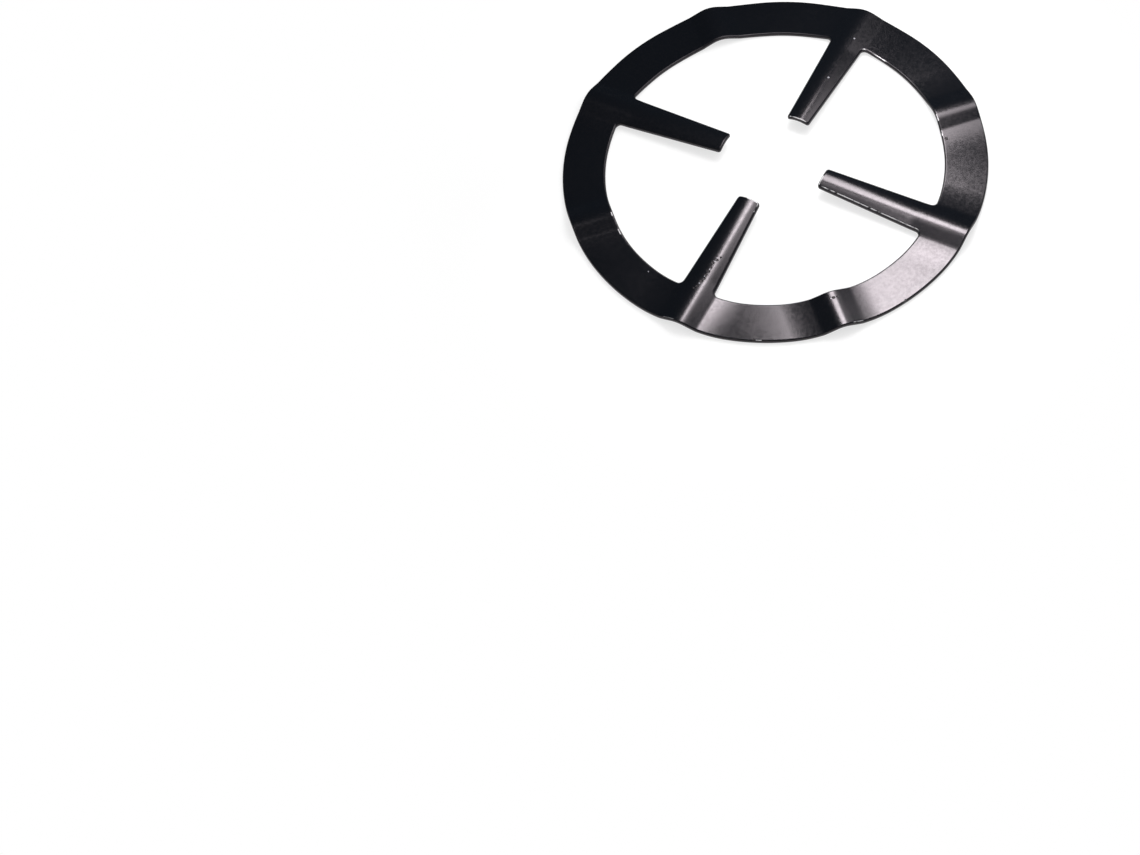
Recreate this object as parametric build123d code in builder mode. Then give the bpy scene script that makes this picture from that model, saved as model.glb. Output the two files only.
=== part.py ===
"""Gas hob reducer ring: one piece of pressed steel sheet that carries a small pot over a wide burner.

A flat round band has four tapered fingers that reach in towards the middle and rise a little on the way.
A rounded bead is pressed up along every finger and on across the band, and a shorter bead crosses the
band between each pair of fingers. The sheet keeps its thickness through the beads, so each one is open
underneath, and its cut edges are lightly chamfered. Sizes are in millimetres. The band lies on Z = 0 and
is centred on the Z axis.
"""

from build123d import *
import math
import os

# The band
outer_diameter = 140.0
band_width = 14.2
sheet_thickness = 1.5
edge_chamfer = 0.3

# The fingers
finger_count = 4
tip_circle_diameter = 35.5
tip_width = 7.8
root_width = 11.5
tip_corner_radius = 0.9
root_radius = 1.6
finger_rise = 1.5
finger_bend_radius = 40.0

# The beads: heights and radii are measured on the underside of the sheet
bead_height = 2.45
bead_slope = 18.0
crest_radius = 8.0
foot_radius = 4.0
runout_slope = 8.5
runout_radius = 70.0

os.makedirs("parts", exist_ok=True)

outer_radius = outer_diameter / 2
hole_radius = outer_radius - band_width
tip_radius = tip_circle_diameter / 2
bead_count = 2 * finger_count
bead_pitch = 360 / bead_count

# A face whose normal rises less than this is a cut edge of the sheet
upright_limit = 0.01

# A bead's underside is a low roof with a rounded ridge. The sheet beside it runs out from the foot of
# the roof in a long arc that ends flat.
slope = math.radians(bead_slope)
runout = math.radians(runout_slope)
ridge_height = bead_height + crest_radius * (1 / math.cos(slope) - 1)
foot_height = runout_radius * (1 - math.cos(runout))
foot_offset = (ridge_height - foot_height) / math.tan(slope)
runout_reach = foot_offset + runout_radius * math.sin(runout)
strip_reach = runout_reach + edge_chamfer

# A strip that holds a finger's bead starts inside the tip. One that crosses the band starts where its full
# width is inside the hole, and a finger bends upwards at that same distance.
finger_start = tip_radius - sheet_thickness
band_start = math.sqrt(hole_radius**2 - strip_reach**2) - sheet_thickness
strip_end = outer_radius + sheet_thickness

# One finger in plan, from its tip to inside the band
with BuildSketch() as finger:
    root_distance = math.sqrt(hole_radius**2 - (root_width / 2) ** 2)
    with BuildLine():
        Polyline(
            (tip_radius, -tip_width / 2),
            (tip_radius, tip_width / 2),
            (root_distance, root_width / 2),
            (hole_radius, root_width / 2),
            (hole_radius, -root_width / 2),
            (root_distance, -root_width / 2),
            close=True,
        )
    make_face()

# The whole blank in plan, with its finger tips and finger roots rounded
with BuildSketch() as blank:
    Circle(outer_radius)
    Circle(hole_radius, mode=Mode.SUBTRACT)
    with PolarLocations(0, finger_count):
        add(finger.sketch)
    by_distance = blank.vertices().sort_by(lambda corner: Vector(*corner).length)
    fillet(by_distance[: 2 * finger_count], tip_corner_radius)
    by_distance = blank.vertices().sort_by(lambda corner: abs(Vector(*corner).length - hole_radius))
    fillet(by_distance[: 2 * finger_count], root_radius)

# Section of the sheet across one bead
with BuildSketch() as bead_section:
    with BuildLine() as underside:
        flat = Line((-strip_reach, 0), (-runout_reach, 0))
        rise = JernArc(flat @ 1, flat % 1, runout_radius, runout_slope)
        Line(rise @ 1, (0, ridge_height))
        mirror(about=Plane.YZ)
        corners = underside.vertices().group_by(Axis.Y)
        fillet(corners[-1], crest_radius)
        fillet(corners[-2], foot_radius)
        offset(amount=sheet_thickness, side=Side.LEFT)
    make_face()

# A strip of sheet with the bead of one finger, which is level across the band
with BuildPart() as finger_strip:
    with BuildLine(Plane.XZ):
        FilletPolyline((strip_end, 0), (band_start, 0), (finger_start, finger_rise), radius=finger_bend_radius)
    with BuildSketch(Plane.YZ.offset(strip_end)):
        add(bead_section.sketch)
    sweep()

# A strip of sheet with a bead that only crosses the band
with BuildPart() as cross_strip:
    with BuildSketch(Plane.YZ.offset(band_start)):
        add(bead_section.sketch)
    extrude(amount=strip_end - band_start)

# All strips in their places, cut to the blank
with BuildPart() as beads:
    with PolarLocations(0, finger_count):
        add(finger_strip.part)
    with PolarLocations(0, finger_count, start_angle=bead_pitch):
        add(cross_strip.part)
    with BuildSketch():
        add(blank.sketch)
    extrude(amount=bead_height + finger_rise + 2 * sheet_thickness, mode=Mode.INTERSECT)

# The ring: the flat sheet between the beads, joined to them, with its cut edges chamfered
with BuildPart() as reducer_ring:
    with BuildSketch():
        add(blank.sketch)
        with PolarLocations(0, bead_count):
            Rectangle(outer_radius, 2 * strip_reach, align=(Align.MIN, Align.CENTER), mode=Mode.SUBTRACT)
    extrude(amount=sheet_thickness)
    add(beads.part)
    cut_faces = reducer_ring.faces().filter_by(lambda face: abs(face.normal_at().Z) < upright_limit)
    rims = ShapeList(edge for face in cut_faces for edge in face.edges()).filter_by(Axis.Z, reverse=True)
    chamfer(rims, edge_chamfer)

reducer_ring.part.label = "reducer_ring"
export_step(reducer_ring.part, "parts/reducer_ring.step")
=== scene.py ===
"""Looks of the gas hob reducer ring: pressed steel sheet in satin black enamel, on a white studio floor.

The ring is one mesh. Its sheet follows the section of the pressed beads, its fingers rise towards their
tips, and all of its cut edges are rounded. Lengths in the classes below are in millimetres and angles in
degrees, unless a comment says otherwise.
"""

from __future__ import annotations

import logging
import math
from dataclasses import dataclass, field
from enum import Enum

import bmesh
import bpy
import numpy as np
from mathutils import Matrix, Vector

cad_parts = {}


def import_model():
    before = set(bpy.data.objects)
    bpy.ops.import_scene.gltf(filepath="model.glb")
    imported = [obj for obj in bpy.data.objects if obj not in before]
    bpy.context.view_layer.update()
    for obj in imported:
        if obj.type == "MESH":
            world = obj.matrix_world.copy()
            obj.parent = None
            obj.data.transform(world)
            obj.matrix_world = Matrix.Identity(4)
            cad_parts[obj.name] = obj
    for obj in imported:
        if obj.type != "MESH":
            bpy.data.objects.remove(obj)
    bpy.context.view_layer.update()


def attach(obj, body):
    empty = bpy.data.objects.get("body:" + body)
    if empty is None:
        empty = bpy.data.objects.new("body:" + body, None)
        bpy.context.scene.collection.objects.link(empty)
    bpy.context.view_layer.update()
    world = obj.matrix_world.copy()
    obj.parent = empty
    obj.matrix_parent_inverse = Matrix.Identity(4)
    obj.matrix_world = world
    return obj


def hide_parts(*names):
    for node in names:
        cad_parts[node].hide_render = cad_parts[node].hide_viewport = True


LOG = logging.getLogger("reducer_ring")
MM = 0.001

# The mesh attribute that says how far round a rolled edge a point lies: 0 on the faces, 1 halfway
RIM = "rim"

# Points closer than this many decimals of a millimetre are one point of the mesh
WELD_DECIMALS = 4

Place = tuple[float, float, float]
Colour = tuple[float, float, float, float]
Pair = tuple[float, float]

WHITE: Colour = (1.0, 1.0, 1.0, 1.0)

# Angle in radians from a finger's middle line to halfway between two fingers
SEAM = math.pi / 4


class Face(Enum):
    """The two broad faces of the sheet."""

    TOP = "top"
    UNDER = "under"


def ray(angle: float | np.ndarray) -> np.ndarray:
    """Give the unit vector in plan at an angle in radians, or one row for each of several angles."""
    return np.stack([np.cos(angle), np.sin(angle)], -1)


@dataclass(frozen=True)
class SheetSection:
    """Section of the sheet across one bead, measured on its underside as in the part's source."""

    thickness: float = 1.5
    bead_height: float = 2.45
    bead_slope: float = 18.0
    crest_radius: float = 8.0
    foot_radius: float = 4.0
    runout_slope: float = 8.5
    runout_radius: float = 70.0
    step: float = 0.02

    def half_curve(self, face: Face) -> tuple[np.ndarray, np.ndarray]:
        """Trace one half of the section, from the crest out to where the sheet is flat.

        Args:
            face: Which face of the sheet to trace.

        Returns:
            Distances from the bead's middle line, and the heights there.
        """
        lift = self.thickness if face is Face.TOP else 0.0
        slope = math.radians(self.bead_slope)
        runout = math.radians(self.runout_slope)
        ridge = self.bead_height + self.crest_radius * (1 / math.cos(slope) - 1)
        foot_height = self.runout_radius * (1 - math.cos(runout))
        foot_offset = (ridge - foot_height) / math.tan(slope)
        crest_end = self.crest_radius * math.sin(slope)
        bend = self.foot_radius * math.tan((slope - runout) / 2)
        foot_start = foot_offset - bend * math.cos(slope)
        foot_end = foot_offset + bend * math.cos(runout)
        reach = foot_offset + self.runout_radius * math.sin(runout)
        u = np.arange(0, reach + self.step, self.step)
        height = np.zeros_like(u)
        tilt = np.zeros_like(u)
        crest = u <= crest_end
        tilt[crest] = np.arcsin(u[crest] / self.crest_radius)
        height[crest] = self.bead_height - self.crest_radius * (1 - np.cos(tilt[crest]))
        flank = (u > crest_end) & (u <= foot_start)
        tilt[flank] = slope
        height[flank] = ridge - u[flank] * math.tan(slope)
        foot = (u > foot_start) & (u <= foot_end)
        centre = foot_start + self.foot_radius * math.sin(slope)
        base = ridge - foot_start * math.tan(slope) + self.foot_radius * math.cos(slope)
        tilt[foot] = np.arcsin((centre - u[foot]) / self.foot_radius)
        height[foot] = base - self.foot_radius * np.cos(tilt[foot])
        runs = (u > foot_end) & (u <= reach)
        tilt[runs] = np.arcsin((reach - u[runs]) / self.runout_radius)
        height[runs] = self.runout_radius * (1 - np.cos(tilt[runs]))
        return u + lift * np.sin(tilt), height + lift * np.cos(tilt)

    def height(self, distance: np.ndarray, face: Face) -> np.ndarray:
        """Give the height above the band's underside at some distances from a bead's middle line.

        Args:
            distance: Distances from the middle line.
            face: Which face of the sheet.

        Returns:
            Heights, which are 0 or the thickness where the sheet is flat.
        """
        curve = self.half_curve(face)
        return np.interp(np.abs(distance), *curve)


@dataclass(frozen=True)
class BlankPlan:
    """Plan of one quarter of the blank, with its finger along +X.

    An inset moves the plan's edges into the sheet. The grids have a line at the distance of support
    inside each rolled edge, so that the faces stay flat up to there.
    """

    outer_radius: float = 70.0
    hole_radius: float = 55.8
    tip_radius: float = 17.75
    tip_half_width: float = 3.9
    root_half_width: float = 5.75
    tip_corner_radius: float = 0.9
    root_radius: float = 1.6
    tip_columns: int = 15
    corner_steps: int = 6
    side_steps: int = 64
    root_steps: int = 8
    arc_steps: int = 72
    band_rows: int = 24
    support: float = 0.1
    search_steps: int = 60

    @property
    def taper(self) -> float:
        """Angle in radians between a finger's side and its middle line."""
        root = math.sqrt(self.hole_radius**2 - self.root_half_width**2)
        return math.atan((self.root_half_width - self.tip_half_width) / (root - self.tip_radius))

    @property
    def half_shares(self) -> np.ndarray:
        """Shares of a finger's half width where its grid has columns, one of them near the edge."""
        even = np.linspace(0, 1, self.tip_columns - 1)
        return np.concatenate([even[:-1], [1 - self.support / self.tip_half_width, 1.0]])

    @property
    def band_shares(self) -> np.ndarray:
        """Give the shares of the band's width where its grid has rows.

        Returns:
            Shares from the hole outwards, with one just inside each edge.
        """
        even = np.linspace(0, 1, self.band_rows + 1)
        near = self.support / (self.outer_radius - self.hole_radius)
        return np.concatenate([[0.0, near], even[1:-1], [1 - near, 1.0]])

    def side_line(self, along: float, outwards: float) -> np.ndarray:
        """Give a point beside a finger's side.

        Args:
            along: Distance along the side from the sharp tip corner.
            outwards: Distance away from the finger.

        Returns:
            The point in plan.
        """
        turn = self.taper
        start = np.array([self.tip_radius, self.tip_half_width])
        return start + along * ray(turn) + outwards * ray(turn + math.pi / 2)

    def corner_centre(self) -> np.ndarray:
        """Find the centre of the rounding at the finger's tip corner.

        Returns:
            The centre in plan.
        """
        turn = self.taper
        radius = self.tip_corner_radius
        along = radius * (1 - math.sin(turn)) / math.cos(turn)
        return self.side_line(along, -radius)

    def root_centre(self) -> np.ndarray:
        """Find the centre of the rounding between the finger's side and the hole.

        Returns:
            The centre in plan.
        """
        reach = self.hole_radius - self.root_radius
        low, high = 0.0, self.hole_radius
        for _ in range(self.search_steps):
            middle = (low + high) / 2
            if np.linalg.norm(self.side_line(middle, self.root_radius)) < reach:
                low = middle
            else:
                high = middle
        return self.side_line(low, self.root_radius)

    def inner_edge(self, inset: float) -> np.ndarray:
        """Trace the inner edge from the middle of the tip to halfway between two fingers.

        Args:
            inset: How far the line lies inside the sheet's edge.

        Returns:
            Points in plan, one per row.
        """
        corner, root = self.corner_centre(), self.root_centre()
        side_angle = math.pi / 2 + self.taper
        tip = [(self.tip_radius + inset, share * corner[1]) for share in self.half_shares]
        angles = np.linspace(math.pi, side_angle, self.corner_steps + 1)[1:]
        bend = [corner + (self.tip_corner_radius - inset) * ray(angle) for angle in angles]
        first = corner + (self.tip_corner_radius - inset) * ray(side_angle)
        last = root - (self.root_radius + inset) * ray(side_angle)
        side = [first + share * (last - first) for share in np.linspace(0, 1, self.side_steps + 1)[1:]]
        hole_start = math.atan2(root[1], root[0])
        angles = np.linspace(side_angle - math.pi, hole_start, self.root_steps + 1)[1:]
        fillet = [root + (self.root_radius + inset) * ray(angle) for angle in angles]
        angles = np.linspace(hole_start, SEAM, self.arc_steps + 1)[1:]
        hole = [(self.hole_radius + inset) * ray(angle) for angle in angles]
        return np.array(tip + bend + side + fillet + hole)

    @property
    def split(self) -> int:
        """Index on the inner edge of the middle of the root rounding, where the finger's rows end."""
        return self.tip_columns - 1 + self.corner_steps + self.side_steps + self.root_steps // 2


@dataclass(frozen=True)
class Patch:
    """A grid of points in plan with what is needed to raise it into the sheet."""

    points: np.ndarray
    finger: bool


@dataclass
class PressedRing:
    """The whole ring: its sheet, its beads, its rising fingers and its rolled edges.

    Each finger is bent up at bend_start from the centre and would reach its full rise at rise_start. The
    cut edges are quarter ellipses on both faces: inner_roll or outer_roll wide, and edge_drop deep.
    """

    name: str = "reducer_ring_sheet"
    plan: BlankPlan = field(default_factory=BlankPlan)
    section: SheetSection = field(default_factory=SheetSection)
    finger_rise: float = 1.5
    bend_radius: float = 40.0
    bend_start: float = 51.66
    rise_start: float = 16.25
    inner_roll: float = 0.65
    outer_roll: float = 0.42
    edge_drop: float = 0.5
    edge_steps: int = 5
    finger_count: int = 4

    def rise(self, along: np.ndarray) -> np.ndarray:
        """Give how much a finger has risen at some distances from the ring's centre.

        Args:
            along: Distances along the finger's middle line.

        Returns:
            Heights added to the sheet.
        """
        slope = self.finger_rise / (self.bend_start - self.rise_start)
        half = self.bend_radius * math.tan(math.atan(slope) / 2)
        before = self.bend_start - along
        straight = slope * before
        rounded = slope * (before + half) ** 2 / (4 * half)
        return np.where(before > half, straight, np.where(before < -half, 0, rounded))

    def raised(self, plan_points: np.ndarray, face: Face, finger: bool, drop: float = 0.0) -> np.ndarray:
        """Lift points in plan onto one face of the sheet.

        Args:
            plan_points: Points in plan, with x and y last.
            face: The face to lift them to.
            finger: True for a finger and the band behind it.
            drop: How far into the sheet the points lie, as on a rolled edge.

        Returns:
            The same points with a height.
        """
        x, y = plan_points[..., 0], plan_points[..., 1]
        flat = self.section.thickness if face is Face.TOP else 0.0
        z = self.section.height(y, face)
        if finger:
            z = z + self.rise(x)
        else:
            beside = (np.abs(y) - x) / math.sqrt(2)
            z = z + self.section.height(beside, face) - flat
        z = z - drop if face is Face.TOP else z + drop
        return np.stack([x, y, z], -1)

    def patches(self) -> list[Patch]:
        """Lay out one quarter in plan.

        Returns:
            The finger with the band behind it, and the band on one side of it.
        """
        plan = self.plan
        edge = plan.inner_edge(self.inner_roll)
        radius = plan.outer_radius - self.outer_roll
        shares = np.concatenate([-plan.half_shares[:0:-1], plan.half_shares])
        tip_end = plan.tip_columns - 1
        stations = edge[tip_end : plan.split + 1]
        rows = [np.stack([np.full_like(shares, x), shares * y], -1) for x, y in stations]
        x_root, y_root = edge[plan.split]
        across = shares * y_root
        outer_x = np.sqrt(radius**2 - across**2)
        steps = plan.band_shares
        for share in steps[1:]:
            rows.append(np.stack([x_root + share * (outer_x - x_root), across], -1))
        finger = Patch(np.array(rows), True)
        inner = edge[plan.split :]
        outer = radius * self.outer_directions()
        side = inner[None] * (1 - steps[:, None, None]) + outer[None] * steps[:, None, None]
        return [finger, Patch(side, False)]

    def outer_directions(self) -> np.ndarray:
        """Give the directions of the outer ends of the side grid's columns.

        Returns:
            Unit vectors in plan, one per column.
        """
        plan = self.plan
        inner = plan.inner_edge(self.inner_roll)[plan.split :]
        angles = np.arctan2(inner[:, 1], inner[:, 0])
        start = math.asin(inner[0, 1] / (plan.outer_radius - self.outer_roll))
        share = (angles - angles[0]) / (SEAM - angles[0])
        return ray(start + share * (SEAM - start))

    def edge_strips(self) -> list[np.ndarray]:
        """Build the rolled edges of one side of a quarter.

        Returns:
            Grids of raised points, with a row for each step from the top round to the underside.
        """
        plan = self.plan
        turns = np.linspace(0, math.pi / 2, self.edge_steps + 1)
        shares = 1 - np.sin(turns)
        drops = self.edge_drop * (1 - np.cos(turns))
        y_root = plan.inner_edge(self.inner_roll)[plan.split][1]
        behind = plan.half_shares * y_root
        behind_rays = ray(np.arcsin(behind / (plan.outer_radius - self.outer_roll)))
        inner = [plan.inner_edge(self.inner_roll * share) for share in shares]
        outer = [plan.outer_radius - self.outer_roll * share for share in shares]
        lines = [
            ([line[: plan.split + 1] for line in inner], True),
            ([line[plan.split :] for line in inner], False),
            ([radius * behind_rays for radius in outer], True),
            ([radius * self.outer_directions() for radius in outer], False),
        ]
        strips = []
        for rolled, finger in lines:
            top = [self.raised(line, Face.TOP, finger, drop) for line, drop in zip(rolled, drops)]
            under = [self.raised(line, Face.UNDER, finger, drop) for line, drop in zip(rolled, drops)]
            strips.append(np.array(top + under[::-1]))
        return strips

    def grids(self) -> list[tuple[np.ndarray, np.ndarray]]:
        """Build every grid of raised points of one quarter, both faces and all edges.

        Returns:
            Grids of points, each with a grid of how far round the edge its points lie, from 0 to 1.
        """
        found = []
        mirror = np.array([1, -1, 1])
        for patch in self.patches():
            for face in Face:
                grid = self.raised(patch.points, face, patch.finger)
                flat = np.zeros(grid.shape[:2])
                found.append((grid, flat))
                if not patch.finger:
                    found.append((grid * mirror, flat))
        share = np.linspace(0, 1, self.edge_steps + 1)
        rows = np.concatenate([share, share[::-1]])
        for grid in self.edge_strips():
            edge = np.repeat(rows[:, None], grid.shape[1], axis=1)
            found += [(grid, edge), (grid * mirror, edge)]
        return found

    def mesh(self) -> bpy.types.Mesh:
        """Join the grids of all quarters.

        Returns:
            One closed mesh, which carries how far round a rolled edge each point lies.
        """
        vertices: list[np.ndarray] = []
        faces: list[np.ndarray] = []
        edges: list[np.ndarray] = []
        count = 0
        for quarter in range(self.finger_count):
            angle = 2 * math.pi * quarter / self.finger_count
            turn = np.array([[*ray(angle), 0], [*ray(angle + math.pi / 2), 0], [0, 0, 1]])
            for grid, edge in self.grids():
                rows, columns = grid.shape[:2]
                index = count + np.arange(rows * columns).reshape(rows, columns)
                quads = np.stack([index[:-1, :-1], index[1:, :-1], index[1:, 1:], index[:-1, 1:]], -1)
                vertices.append(grid.reshape(-1, 3) @ turn)
                faces.append(quads.reshape(-1, 4))
                edges.append(edge.reshape(-1))
                count += rows * columns
        points = np.concatenate(vertices)
        rounded = np.round(points, WELD_DECIMALS)
        _, keep, place = np.unique(rounded, axis=0, return_index=True, return_inverse=True)
        quads = place.reshape(-1)[np.concatenate(faces)]
        mesh = bpy.data.meshes.new(self.name)
        mesh.from_pydata((points[keep] * MM).tolist(), [], quads.tolist())
        self.close(mesh)
        rim = np.zeros(len(keep))
        np.maximum.at(rim, place.reshape(-1), np.concatenate(edges))
        mesh.attributes.new(RIM, "FLOAT", "POINT").data.foreach_set("value", rim)
        return mesh

    def close(self, mesh: bpy.types.Mesh) -> None:
        """Turn all faces outwards and shade them smooth.

        Args:
            mesh: The ring's mesh.
        """
        work = bmesh.new()
        work.from_mesh(mesh)
        bmesh.ops.recalc_face_normals(work, faces=work.faces)
        work.to_mesh(mesh)
        work.free()
        mesh.shade_smooth()
        mesh.update()

    def build(self, material: bpy.types.Material) -> bpy.types.Object:
        """Make the ring's object and hand it to the frame.

        Args:
            material: The enamel.

        Returns:
            The ring.
        """
        ring = bpy.data.objects.new(self.name, self.mesh())
        ring.data.materials.append(material)
        bpy.context.scene.collection.objects.link(ring)
        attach(ring, "root")
        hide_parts("reducer_ring")
        return ring


class Tree:
    """A small helper that adds and joins nodes in one node tree."""

    def __init__(self, tree: bpy.types.NodeTree) -> None:
        """Keep the tree to work on."""
        self.tree = tree

    def add(self, kind: str, **settings: object) -> bpy.types.Node:
        """Add a node.

        Args:
            kind: The node's type.
            **settings: Values for the node's own properties.

        Returns:
            The new node.
        """
        node = self.tree.nodes.new(kind)
        for name, value in settings.items():
            setattr(node, name, value)
        return node

    def join(self, source: bpy.types.NodeSocket, target: bpy.types.NodeSocket) -> None:
        """Link an output to an input."""
        self.tree.links.new(source, target)

    def math(
        self, operation: str, first: object, second: object = 0.0, clamp: bool = False
    ) -> bpy.types.NodeSocket:
        """Add a Math node.

        Args:
            operation: What it does.
            first: A socket or a number.
            second: A socket or a number.
            clamp: True to keep the result from 0 to 1.

        Returns:
            The result.
        """
        node = self.add("ShaderNodeMath", operation=operation, use_clamp=clamp)
        for place, value in enumerate((first, second)):
            if isinstance(value, bpy.types.NodeSocket):
                self.join(value, node.inputs[place])
            else:
                node.inputs[place].default_value = value
        return node.outputs[0]

    def ramp(
        self, value: bpy.types.NodeSocket, low: float, high: float, start: float = 0.0, end: float = 1.0
    ) -> bpy.types.NodeSocket:
        """Turn one range of a value smoothly into another.

        Args:
            value: The value.
            low: Where the change begins.
            high: Where it ends.
            start: The result at and below low.
            end: The result at and above high.

        Returns:
            The result.
        """
        node = self.add("ShaderNodeMapRange", interpolation_type="SMOOTHSTEP")
        self.join(value, node.inputs["Value"])
        for name, number in (("From Min", low), ("From Max", high), ("To Min", start), ("To Max", end)):
            node.inputs[name].default_value = number
        return node.outputs["Result"]

    def noise(
        self, point: bpy.types.NodeSocket, scale: float, detail: float = 2.0
    ) -> bpy.types.NodeSocket:
        """Add noise.

        Args:
            point: Where to read it.
            scale: Its scale per metre.
            detail: How many finer layers it has.

        Returns:
            The noise, from 0 to 1.
        """
        node = self.add("ShaderNodeTexNoise")
        self.join(point, node.inputs["Vector"])
        node.inputs["Scale"].default_value = scale
        node.inputs["Detail"].default_value = detail
        return node.outputs["Fac"]

    def blend(self, share: bpy.types.NodeSocket, first: object, second: object) -> bpy.types.NodeSocket:
        """Blend two colours.

        Args:
            share: How much of the second to take.
            first: A socket or a colour.
            second: A socket or a colour.

        Returns:
            The blended colour.
        """
        node = self.add("ShaderNodeMix", data_type="RGBA")
        self.join(share, node.inputs["Factor"])
        for name, value in (("A", first), ("B", second)):
            if isinstance(value, bpy.types.NodeSocket):
                self.join(value, node.inputs[name])
            else:
                node.inputs[name].default_value = value
        return node.outputs["Result"]


class Mark(Enum):
    """Kinds of small mark on the enamel: pits, and light specks, of which those beside the pits are
    painted glints.
    """

    PIT = "pit"
    SPECK_AND_GLINT = "speck_and_glint"


@dataclass(frozen=True)
class EnamelMark:
    """One small mark on the enamel, at a place on the ring: a pit, or a light speck that is partly a
    painted glint.
    """

    kind: Mark
    x: float
    y: float
    radius: float


# The specks beside the pits are painted glints of the pits' rims; the other specks are light flecks in
# the enamel
MARKS = (
    EnamelMark(Mark.PIT, -43.6, -1.3, 0.55),
    EnamelMark(Mark.SPECK_AND_GLINT, -44.4, -0.9, 0.3),
    EnamelMark(Mark.PIT, -45.1, -0.6, 0.5),
    EnamelMark(Mark.SPECK_AND_GLINT, -42.9, -0.9, 0.25),
    EnamelMark(Mark.PIT, -42.2, -1.9, 0.4),
    EnamelMark(Mark.PIT, -47.0, -0.9, 0.4),
    EnamelMark(Mark.SPECK_AND_GLINT, -47.7, -0.7, 0.25),
    EnamelMark(Mark.PIT, -48.6, -0.9, 0.4),
    EnamelMark(Mark.PIT, -50.1, -0.6, 0.45),
    EnamelMark(Mark.SPECK_AND_GLINT, -50.8, -0.4, 0.25),
    EnamelMark(Mark.PIT, -51.6, -0.8, 0.4),
    EnamelMark(Mark.PIT, -53.0, -0.4, 0.6),
    EnamelMark(Mark.SPECK_AND_GLINT, -53.9, -0.1, 0.3),
    EnamelMark(Mark.PIT, -55.2, 0.1, 0.4),
    EnamelMark(Mark.PIT, -56.3, 0.6, 0.4),
    EnamelMark(Mark.PIT, -41.3, -41.8, 0.6),
    EnamelMark(Mark.SPECK_AND_GLINT, -42.0, -41.2, 0.25),
    EnamelMark(Mark.PIT, -40.5, -42.7, 0.4),
    EnamelMark(Mark.PIT, 32.6, -47.0, 0.65),
    EnamelMark(Mark.PIT, -31.2, -62.4, 0.5),
    EnamelMark(Mark.PIT, -65.0, -25.0, 0.6),
    EnamelMark(Mark.SPECK_AND_GLINT, 38.3, -1.4, 0.35),
    EnamelMark(Mark.SPECK_AND_GLINT, 57.3, -1.8, 0.35),
    EnamelMark(Mark.SPECK_AND_GLINT, -55.1, 18.0, 0.22),
)


@dataclass(frozen=True)
class PaintedGlint:
    """A painted glint: near-white colour along a stretch of the edge, from one place to another, in
    place of a lamp's reflection.

    It covers the sheet within reach of its middle line, and where on_rim is true, only the upper part of
    the rolled edge there.
    """

    start: Pair
    end: Pair
    reach: float
    strength: float
    on_rim: bool = True


# Painted glints: stretches of the edges painted near-white where the lamps are mirrored in the rims
PAINTED_GLINTS = (
    PaintedGlint((-3.9, -18.6), (-5.3, -55.4), 0.9, 1.0),
    PaintedGlint((-3.4, -17.5), (0.3, -17.5), 0.9, 0.8),
    PaintedGlint((17.5, -3.2), (17.5, 3.2), 0.9, 0.5),
    PaintedGlint((-17.5, -3.4), (-17.5, 0.6), 0.9, 0.7),
    PaintedGlint((-18.2, -3.6), (-21.8, -3.9), 0.9, 0.8),
    PaintedGlint((54.6, -5.6), (53.6, -15.5), 1.2, 0.9),
    PaintedGlint((38.9, -40.3), (37.3, -42.2), 1.2, 0.8),
    PaintedGlint((34.6, -44.2), (33.2, -45.6), 1.2, 0.7),
    PaintedGlint((-40.4, 39.3), (-41.4, 38.3), 0.17, 0.7, on_rim=False),
    PaintedGlint((-44.5, 34.7), (-45.9, 33.0), 0.17, 0.7, on_rim=False),
    PaintedGlint((-70.0, 5.2), (-70.0, 1.0), 1.2, 0.25),
    PaintedGlint((-44.6, -54.0), (-47.2, -51.8), 1.2, 0.8),
    PaintedGlint((-32.6, -61.9), (-30.6, -62.9), 1.0, 0.3),
    PaintedGlint((-64.1, -27.4), (-64.9, -25.7), 1.0, 0.9),
)


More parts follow.
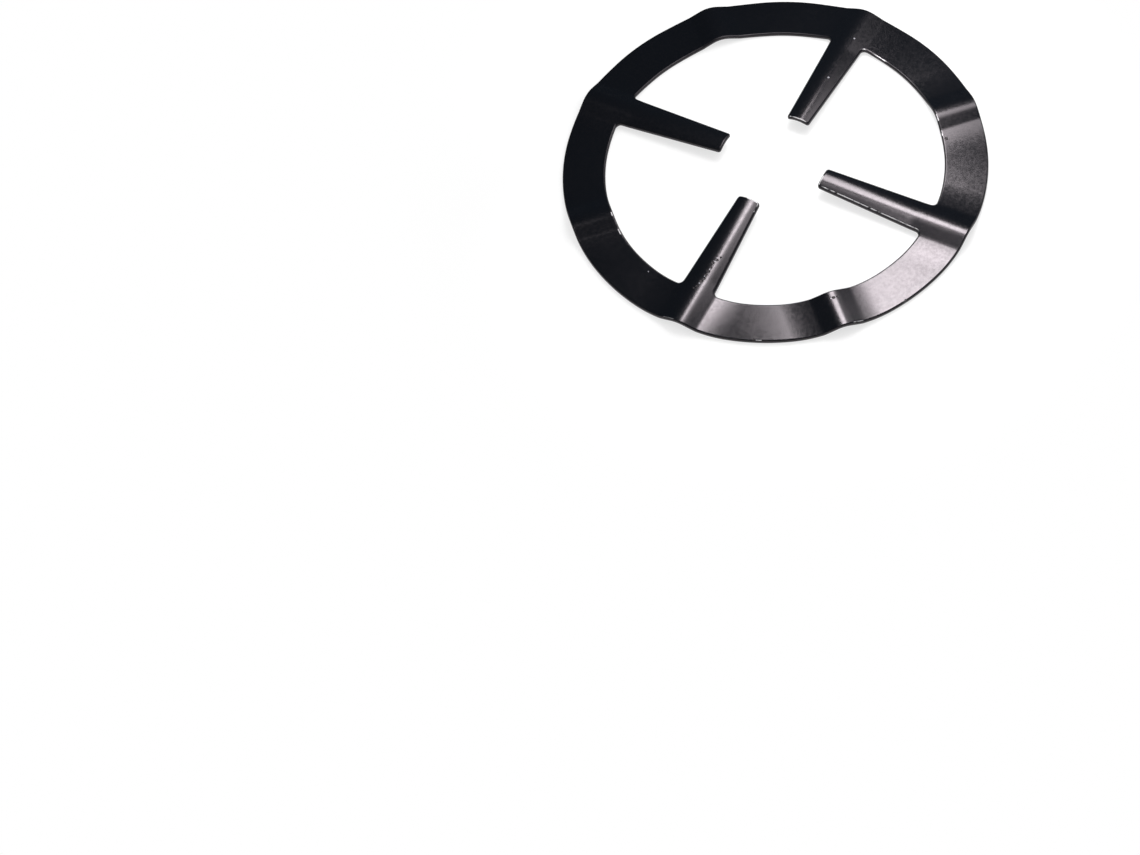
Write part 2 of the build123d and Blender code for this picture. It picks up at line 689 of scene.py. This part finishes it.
@dataclass(frozen=True)
class EnamelSurface:
    """Fine relief, uneven gloss and small faults of a dipped and fired enamel coat, and painted glints
    on its edges.
    """

    name: str = "enamel_surface"
    inputs: tuple[str, ...] = (
        "Grain Height",
        "Pit Depth",
        "Least Roughness",
        "Grain Roughness",
        "Rim Roughness",
        "Pit Roughness",
    )
    outputs: tuple[str, ...] = ("Height", "Roughness", "Pit", "Speck And Glint", "Painted Glint")
    grain_scale: float = 1000.0
    grain_range: Pair = (0.3, 0.7)
    wave_scale: float = 90.0
    wave_detail: float = 1.0
    rim_fade: Pair = (0.0, 0.25)
    spot_core: float = 0.5
    glint_rim: Pair = (0.05, 0.15)
    glint_facing: Pair = (0.78, 0.88)
    glint_length: Pair = (0.9, 1.0)
    glint_reach: Pair = (0.8, 1.0)
    fleck_scale: float = 700.0
    fleck_range: Pair = (0.32, 0.5)

    def group(self) -> bpy.types.NodeTree:
        """Build the node group, whose inputs weigh its grain, its pits and its dull rim.

        Returns:
            A group with the outputs Height, Roughness, Pit, the light specks (partly painted glints) and
            the painted glints on the edges.
        """
        group = bpy.data.node_groups.new(self.name, "ShaderNodeTree")
        for name in self.inputs:
            group.interface.new_socket(name, in_out="INPUT", socket_type="NodeSocketFloat")
        for name in self.outputs:
            group.interface.new_socket(name, in_out="OUTPUT", socket_type="NodeSocketFloat")
        tree = Tree(group)
        given = tree.add("NodeGroupInput").outputs
        end = tree.add("NodeGroupOutput")
        point = tree.add("ShaderNodeTexCoord").outputs["Object"]
        grain = tree.noise(point, self.grain_scale)
        wave = tree.noise(point, self.wave_scale, self.wave_detail)
        masks = {kind: self.marks(tree, point, kind) for kind in Mark}
        relief = tree.math("ADD", tree.math("MULTIPLY", grain, given["Grain Height"]), wave)
        dent = tree.math("MULTIPLY", masks[Mark.PIT], given["Pit Depth"])
        tree.join(tree.math("SUBTRACT", relief, dent), end.inputs["Height"])
        rim = tree.add("ShaderNodeAttribute", attribute_name=RIM).outputs["Fac"]
        rim_dull = tree.math("MULTIPLY", tree.ramp(rim, *self.rim_fade), given["Rim Roughness"])
        pit_dull = tree.math("MULTIPLY", masks[Mark.PIT], given["Pit Roughness"])
        grain_dull = tree.math("MULTIPLY", tree.ramp(grain, *self.grain_range), given["Grain Roughness"])
        rough = tree.math("ADD", given["Least Roughness"], grain_dull)
        rough = tree.math("ADD", rough, tree.math("MAXIMUM", rim_dull, pit_dull))
        tree.join(rough, end.inputs["Roughness"])
        tree.join(masks[Mark.PIT], end.inputs["Pit"])
        tree.join(masks[Mark.SPECK_AND_GLINT], end.inputs["Speck And Glint"])
        tree.join(self.painted_glint(tree, point), end.inputs["Painted Glint"])
        return group

    def painted_glint(self, tree: Tree, point: bpy.types.NodeSocket) -> bpy.types.NodeSocket:
        """Mask the painted glints along the edges.

        Args:
            tree: The tree to build in.
            point: The point on the ring.

        Returns:
            A mask that is up to 1 where the colour is painted near-white as a glint.
        """
        rim = tree.add("ShaderNodeAttribute", attribute_name=RIM).outputs["Fac"]
        facing = tree.add("ShaderNodeSeparateXYZ")
        tree.join(tree.add("ShaderNodeNewGeometry").outputs["True Normal"], facing.inputs["Vector"])
        # Painted glints on the rims keep to the upper part of the rolled edge, which faces the lamps
        raised = tree.ramp(facing.outputs["Z"], *self.glint_facing)
        upper = tree.math("MULTIPLY", tree.ramp(rim, *self.glint_rim), raised)
        place = self.on_floor(tree, point)
        glint_stretches: object = 0.0
        for painted_glint in PAINTED_GLINTS:
            start, end = (Vector((*corner, 0)) * MM for corner in (painted_glint.start, painted_glint.end))
            middle = (start + end) / 2
            turn = math.atan2(end.y - start.y, end.x - start.x)
            frame = tree.add("ShaderNodeMapping", vector_type="TEXTURE")
            tree.join(place, frame.inputs["Vector"])
            frame.inputs["Location"].default_value = middle
            frame.inputs["Rotation"].default_value = (0, 0, turn)
            frame.inputs["Scale"].default_value = ((end - start).length / 2, painted_glint.reach * MM, MM)
            parts = tree.add("ShaderNodeSeparateXYZ")
            tree.join(frame.outputs["Vector"], parts.inputs["Vector"])
            along = tree.math("ABSOLUTE", parts.outputs["X"])
            aside = tree.math("ABSOLUTE", parts.outputs["Y"])
            short = tree.ramp(along, *self.glint_length, 1.0, 0.0)
            inside = tree.math("MULTIPLY", short, tree.ramp(aside, *self.glint_reach, 1.0, 0.0))
            if painted_glint.on_rim:
                inside = tree.math("MULTIPLY", inside, upper)
            inside = tree.math("MULTIPLY", inside, painted_glint.strength)
            glint_stretches = tree.math("MAXIMUM", inside, glint_stretches)
        flecks = tree.ramp(tree.noise(point, self.fleck_scale), *self.fleck_range)
        return tree.math("MULTIPLY", flecks, glint_stretches)

    @staticmethod
    def on_floor(tree: Tree, point: bpy.types.NodeSocket) -> bpy.types.NodeSocket:
        """Drop a point straight down onto the floor.

        Args:
            tree: The tree to build in.
            point: The point on the ring.

        Returns:
            The point with a height of 0.
        """
        flat = tree.add("ShaderNodeVectorMath", operation="MULTIPLY")
        tree.join(point, flat.inputs[0])
        flat.inputs[1].default_value = (1, 1, 0)
        return flat.outputs["Vector"]

    def marks(self, tree: Tree, point: bpy.types.NodeSocket, kind: Mark) -> bpy.types.NodeSocket:
        """Mask all marks of one kind.

        Args:
            tree: The tree to build in.
            point: The point on the ring.
            kind: The kind of mark.

        Returns:
            A mask that is 1 in the marks.
        """
        place = self.on_floor(tree, point)
        mask: object = 0.0
        for mark in MARKS:
            if mark.kind is kind:
                away = tree.add("ShaderNodeVectorMath", operation="DISTANCE")
                tree.join(place, away.inputs[0])
                away.inputs[1].default_value = (mark.x * MM, mark.y * MM, 0)
                radius = mark.radius * MM
                spot = tree.ramp(away.outputs["Value"], self.spot_core * radius, radius, 1.0, 0.0)
                mask = tree.math("MAXIMUM", spot, mask)
        return mask


@dataclass(frozen=True)
class BlackEnamel:
    """Satin black enamel on steel, with a faint lilac sheen."""

    name: str = "black_enamel"
    colour: Colour = (0.0026, 0.0032, 0.0044, 1.0)
    pit_colour: Colour = (0.02, 0.018, 0.018, 1.0)
    # Light grey of the specks; beside the pits it is a painted glint of their rims
    speck_and_glint_colour: Colour = (0.32, 0.32, 0.35, 1.0)
    # Near-white of the painted glints on the edges
    glint_colour: Colour = (0.9, 0.88, 0.9, 1.0)
    sheen_tint: Colour = (1.0, 0.90, 0.955, 1.0)
    ior: float = 1.5
    relief: float = 0.004
    grain_height: float = 0.3
    pit_depth: float = 22.0
    least_roughness: float = 0.18
    grain_roughness: float = 0.055
    rim_roughness: float = 0.2
    pit_roughness: float = 0.4

    def surface(self, tree: Tree) -> bpy.types.bpy_prop_collection:
        """Place the surface group in the enamel's material with this enamel's values.

        Args:
            tree: The material's tree.

        Returns:
            The group's outputs.
        """
        node = tree.add("ShaderNodeGroup", node_tree=EnamelSurface().group())
        node.inputs["Grain Height"].default_value = self.grain_height
        node.inputs["Pit Depth"].default_value = self.pit_depth
        node.inputs["Least Roughness"].default_value = self.least_roughness
        node.inputs["Grain Roughness"].default_value = self.grain_roughness
        node.inputs["Rim Roughness"].default_value = self.rim_roughness
        node.inputs["Pit Roughness"].default_value = self.pit_roughness
        return node.outputs

    def material(self) -> bpy.types.Material:
        """Build the enamel's material.

        Returns:
            The material, for the ring.
        """
        material = bpy.data.materials.new(self.name)
        material.use_nodes = True
        tree = Tree(material.node_tree)
        shader = material.node_tree.nodes["Principled BSDF"]
        shader.inputs["IOR"].default_value = self.ior
        shader.inputs["Specular Tint"].default_value = self.sheen_tint
        surface = self.surface(tree)
        colour = tree.blend(surface["Pit"], self.colour, self.pit_colour)
        # Specks: light grey, and beside the pits a painted glint of their rims
        colour = tree.blend(surface["Speck And Glint"], colour, self.speck_and_glint_colour)
        # Painted glints: near-white colour on the rims in place of the lamps' reflections
        colour = tree.blend(surface["Painted Glint"], colour, self.glint_colour)
        tree.join(colour, shader.inputs["Base Color"])
        tree.join(surface["Roughness"], shader.inputs["Roughness"])
        bump = tree.add("ShaderNodeBump")
        bump.inputs["Strength"].default_value = 1.0
        bump.inputs["Distance"].default_value = self.relief * MM
        tree.join(surface["Height"], bump.inputs["Height"])
        tree.join(bump.outputs["Normal"], shader.inputs["Normal"])
        return material


@dataclass(frozen=True)
class WhiteFloor:
    """Plain white studio floor. It keeps the ring's shadow and turns to even white further out."""

    name: str = "studio_floor"
    half_side: float = 4000.0
    drop: float = 0.02
    colour: Colour = (0.9, 0.9, 0.9, 1.0)
    near_share: float = 0.68
    near: float = 78.0
    far: float = 130.0

    def material(self) -> bpy.types.Material:
        """Build the floor's matt white.

        Returns:
            The material, for the floor.
        """
        material = bpy.data.materials.new(self.name)
        material.use_nodes = True
        tree = Tree(material.node_tree)
        shader = material.node_tree.nodes["Principled BSDF"]
        shader.inputs["Base Color"].default_value = self.colour
        shader.inputs["Roughness"].default_value = 1.0
        shader.inputs["Specular IOR Level"].default_value = 0.0
        glow = tree.add("ShaderNodeEmission")
        glow.inputs["Color"].default_value = WHITE
        away = tree.add("ShaderNodeVectorMath", operation="LENGTH")
        tree.join(tree.add("ShaderNodeTexCoord").outputs["Object"], away.inputs[0])
        share = tree.ramp(away.outputs["Value"], self.near * MM, self.far * MM, self.near_share, 1.0)
        seen = seen_rays(tree)
        mix = tree.add("ShaderNodeMixShader")
        tree.join(tree.math("MULTIPLY", share, seen), mix.inputs["Fac"])
        tree.join(shader.outputs["BSDF"], mix.inputs[1])
        tree.join(glow.outputs["Emission"], mix.inputs[2])
        tree.join(mix.outputs["Shader"], material.node_tree.nodes["Material Output"].inputs["Surface"])
        return material

    def build(self) -> bpy.types.Object:
        """Lay the floor just under the ring.

        Returns:
            The floor.
        """
        reach = self.half_side * MM
        signs = ((-1, -1), (1, -1), (1, 1), (-1, 1))
        corners = [(x * reach, y * reach, -self.drop * MM) for x, y in signs]
        mesh = bpy.data.meshes.new(self.name)
        mesh.from_pydata(corners, [], [(0, 1, 2, 3)])
        mesh.materials.append(self.material())
        floor = bpy.data.objects.new(self.name, mesh)
        bpy.context.scene.collection.objects.link(floor)
        return floor


def seen_rays(tree: Tree) -> bpy.types.NodeSocket:
    """Mark the rays that look at something: the camera's own, mirrored and transmitted ones.

    Args:
        tree: The tree to build in.

    Returns:
        A mask that is 1 for those rays.
    """
    path = tree.add("ShaderNodeLightPath").outputs
    mirrored = tree.math("ADD", path["Is Glossy Ray"], path["Is Transmission Ray"])
    return tree.math("ADD", path["Is Camera Ray"], mirrored, clamp=True)


@dataclass(frozen=True)
class LightPanel:
    """A soft rectangular lamp. Its place and directions are given as seen from the camera's side.

    Where mirrored is false, the lamp lights the floor and the ring but isn't seen in the enamel.
    """

    name: str
    centre: Place
    facing: Place
    size: Pair
    radiance: float
    along: Place = (0.0, 0.0, 1.0)
    mirrored: bool = True

    def build(self, turn: Matrix) -> bpy.types.Object:
        """Hang the lamp.

        Args:
            turn: Turn from the camera's side to the ring.

        Returns:
            The lamp.
        """
        width, height = (side * MM for side in self.size)
        data = bpy.data.lights.new(self.name, "AREA")
        data.shape = "RECTANGLE"
        data.size, data.size_y = width, height
        data.energy = math.pi * width * height * self.radiance
        lamp = bpy.data.objects.new(self.name, data)
        back = -Vector(self.facing).normalized()
        across = Vector(self.along).cross(back).normalized()
        basis = Matrix((across, back.cross(across), back)).transposed()
        lamp.matrix_world = turn @ Matrix.Translation(Vector(self.centre) * MM) @ basis.to_4x4()
        lamp.visible_camera = False
        lamp.visible_glossy = self.mirrored
        bpy.context.scene.collection.objects.link(lamp)
        return lamp


@dataclass(frozen=True)
class LightStrip:
    """A long lamp whose brightness changes from its start to its end, hung as a row of short panels.

    A stop is a share of the length with the radiance there, and the cuts are the shares where the panels
    meet. The panels face the ring's centre, turned away from it by turn about the strip's own line.
    """

    name: str
    start: Place
    end: Place
    width: float
    turn: float
    stops: tuple[Pair, ...]
    cuts: tuple[float, ...] = (0.0, 1.0)

    def panels(self) -> list[LightPanel]:
        """Cut the strip into panels.

        Returns:
            The panels, each as bright as the strip is in the panel's middle.
        """
        start, end = Vector(self.start), Vector(self.end)
        along = (end - start).normalized()
        middle = (start + end) / 2
        inwards = (middle.dot(along) * along - middle).normalized()
        angle = math.radians(self.turn)
        facing = math.cos(angle) * inwards + math.sin(angle) * along.cross(inwards)
        places, tones = zip(*self.stops)
        row = []
        for number, (low, high) in enumerate(zip(self.cuts[:-1], self.cuts[1:]), 1):
            share = (low + high) / 2
            radiance = math.exp(float(np.interp(share, places, np.log(tones))))
            size = (self.width, (high - low) * (end - start).length)
            centre = start + share * (end - start)
            name = f"{self.name}_{number}"
            row.append(LightPanel(name, tuple(centre), tuple(facing), size, radiance, tuple(along)))
        return row


@dataclass(frozen=True)
class StudioSky:
    """What surrounds the floor: white for the camera, and a dim room in the enamel's mirror."""

    dim: Colour = (0.031, 0.044, 0.061, 1.0)
    ambient: Colour = (0.5, 0.5, 0.5, 1.0)

    def build(self) -> None:
        """Set the world."""
        world = bpy.data.worlds.new("studio")
        world.use_nodes = True
        tree = Tree(world.node_tree)
        path = tree.add("ShaderNodeLightPath").outputs
        unseen = tree.blend(path["Is Glossy Ray"], self.ambient, self.dim)
        tone = tree.blend(path["Is Camera Ray"], unseen, WHITE)
        tree.join(tone, world.node_tree.nodes["Background"].inputs["Color"])
        bpy.context.scene.world = world


@dataclass(frozen=True)
class StudioCamera:
    """The camera, placed from the ring's centre by its elevation, roll, distance and two side steps.

    Its clip distances are in metres.
    """

    image_width: float = 1140.0
    focal_pixels: float = 3308.203
    elevation: float = 56.546
    roll: float = -10.551
    distance: float = 1090.049
    side_steps: Pair = (-67.31, -85.51)
    sensor: float = 36.0
    clip: Pair = (0.01, 100.0)

    def build(self, turn: Matrix) -> bpy.types.Object:
        """Put up the camera.

        Args:
            turn: Turn from the camera's side to the ring.

        Returns:
            The camera.
        """
        rise, roll = math.radians(self.elevation), math.radians(self.roll)
        back = Vector((0, -math.cos(rise), math.sin(rise)))
        level = Vector((1, 0, 0))
        upright = back.cross(level)
        right = math.cos(roll) * level + math.sin(roll) * upright
        up = math.cos(roll) * upright - math.sin(roll) * level
        centre = self.distance * back + self.side_steps[0] * right + self.side_steps[1] * up
        basis = Matrix((right, up, back)).transposed().to_4x4()
        data = bpy.data.cameras.new("studio_camera")
        data.sensor_fit = "HORIZONTAL"
        data.sensor_width = self.sensor
        data.lens = self.focal_pixels / self.image_width * self.sensor
        data.clip_start, data.clip_end = self.clip
        camera = bpy.data.objects.new("studio_camera", data)
        camera.matrix_world = turn @ Matrix.Translation(centre * MM) @ basis
        bpy.context.scene.collection.objects.link(camera)
        bpy.context.scene.camera = camera
        return camera


# Turn about Z, in degrees, from the camera's side to the ring
CAMERA_TURN = -52.85

FLOOR_LAMP = LightPanel(
    name="floor_lamp",
    centre=(600.0, 1450.0, 1700.0),
    facing=(-0.6, -1.45, -1.7),
    size=(3000.0, 3000.0),
    radiance=1.3,
    mirrored=False,
)

STRIPS = (
    LightStrip(
        name="key_strip",
        start=(27.0, 79.0, 117.0),
        end=(267.0, 171.0, 1191.0),
        width=74.0,
        turn=30.6,
        stops=((0.0, 12.05), (0.138, 26.12), (0.482, 1.09), (1.0, 4.75)),
        cuts=(
            0.0, 0.02, 0.04, 0.06, 0.08, 0.1, 0.12, 0.15, 0.18,
            0.22, 0.26, 0.3, 0.36, 0.42, 0.5, 0.65, 0.8, 1.0,
        ),
    ),
    LightStrip(
        name="back_left_strip",
        start=(-416.0, 14.0, 2643.0),
        end=(-201.0, 908.0, 3452.0),
        width=91.0,
        turn=-56.3,
        stops=((0.0, 30.54), (1.0, 30.54)),
    ),
    LightStrip(
        name="near_fill",
        start=(97.0, 146.0, 317.0),
        end=(70.0, 9.0, 105.0),
        width=136.0,
        turn=13.9,
        stops=((0.0, 3.98), (1.0, 3.98)),
    ),
)


def main() -> None:
    """Build the ring, the floor, the lamps and the camera."""
    logging.basicConfig(level=logging.INFO, format="%(name)s: %(message)s")
    scene = bpy.context.scene
    scene.view_settings.view_transform = "Standard"
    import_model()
    ring = PressedRing().build(BlackEnamel().material())
    LOG.info("%s has %d faces", ring.name, len(ring.data.polygons))
    floor = WhiteFloor().build()
    LOG.info("%s laid", floor.name)
    turn = Matrix.Rotation(math.radians(CAMERA_TURN), 4, "Z")
    for strip in STRIPS:
        for panel in strip.panels():
            LOG.info("%s hung", panel.build(turn).name)
    LOG.info("%s hung", FLOOR_LAMP.build(turn).name)
    StudioSky().build()
    LOG.info("%s placed", StudioCamera().build(turn).name)


if __name__ == "__main__":
    main()
